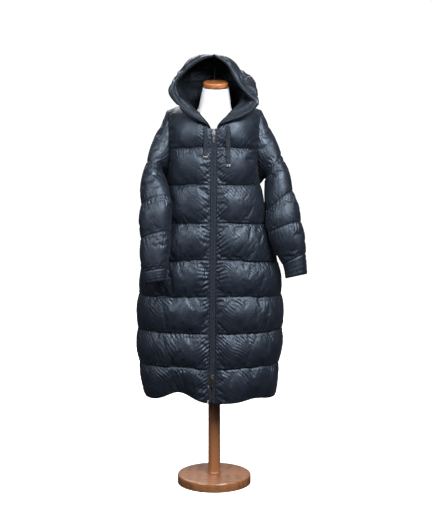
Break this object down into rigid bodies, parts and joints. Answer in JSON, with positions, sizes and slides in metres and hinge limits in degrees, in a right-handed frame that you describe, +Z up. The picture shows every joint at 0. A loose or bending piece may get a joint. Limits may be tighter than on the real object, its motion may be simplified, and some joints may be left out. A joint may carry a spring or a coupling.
{
  "type": "long hooded puffer coat on a dress form stand",
  "caption": "Long quilted puffer coat with a raised hood, long sleeves, a full-length two-way zip and drawstrings, worn by a limbless dress form on a round wooden stand.",
  "frame": {"origin": "middle of the base's underside, on the floor", "axes": "+Z up; -Y is the coat's front, with its zip; +X is the viewer's right looking at the front"},
  "size_m": [0.618, 0.3921, 1.6],
  "materials": {
    "nylon": "dark navy satin nylon, quilted and padded",
    "zip_tape": "matte woven tape",
    "zip_teeth": "moulded teeth, dull",
    "metal": "satin grey metal",
    "bronze": "dull warm bronze",
    "jersey": "plain white cotton jersey",
    "wood": "clear-varnished beech"
  },
  "bodies": {
    "coat_and_form": {"back": "nylon", "base_disc": "wood", "cord_tip_left": "metal", "cord_tip_right": "metal", "cuff_left": "nylon", "cuff_right": "nylon", "drawcord_left": "nylon", "drawcord_right": "nylon", "form_torso": "jersey", "front_left": "nylon", "front_right": "nylon", "hood_casing_left": "nylon", "hood_casing_right": "nylon", "hood_left": "nylon", "hood_right": "nylon", "neck_cap": "wood", "post": "wood", "sleeve_left": "nylon", "sleeve_right": "nylon", "zip_chain": "zip_teeth", "zip_slider_bottom": "bronze", "zip_slider_top": "metal", "zip_tape_left": "zip_tape", "zip_tape_right": "zip_tape", "zip_teeth_left": "zip_teeth", "zip_teeth_right": "zip_teeth"},
    "top_pull": {"zip_pull_top": "metal"},
    "bottom_pull": {"zip_pull_bottom": "bronze"}
  },
  "joints": [
    {"name": "top_pull_swing", "type": "hinge", "parent": "coat_and_form", "child": "top_pull", "pos_m": [-0.00111, -0.14117, 1.32015], "axis": [-1, 0, 0], "range_deg": [0, 150]},
    {"name": "bottom_pull_swing", "type": "hinge", "parent": "coat_and_form", "child": "bottom_pull", "pos_m": [-0.0073, -0.16633, 0.43909], "axis": [-1, 0, 0], "range_deg": [0, 150]}
  ]
}
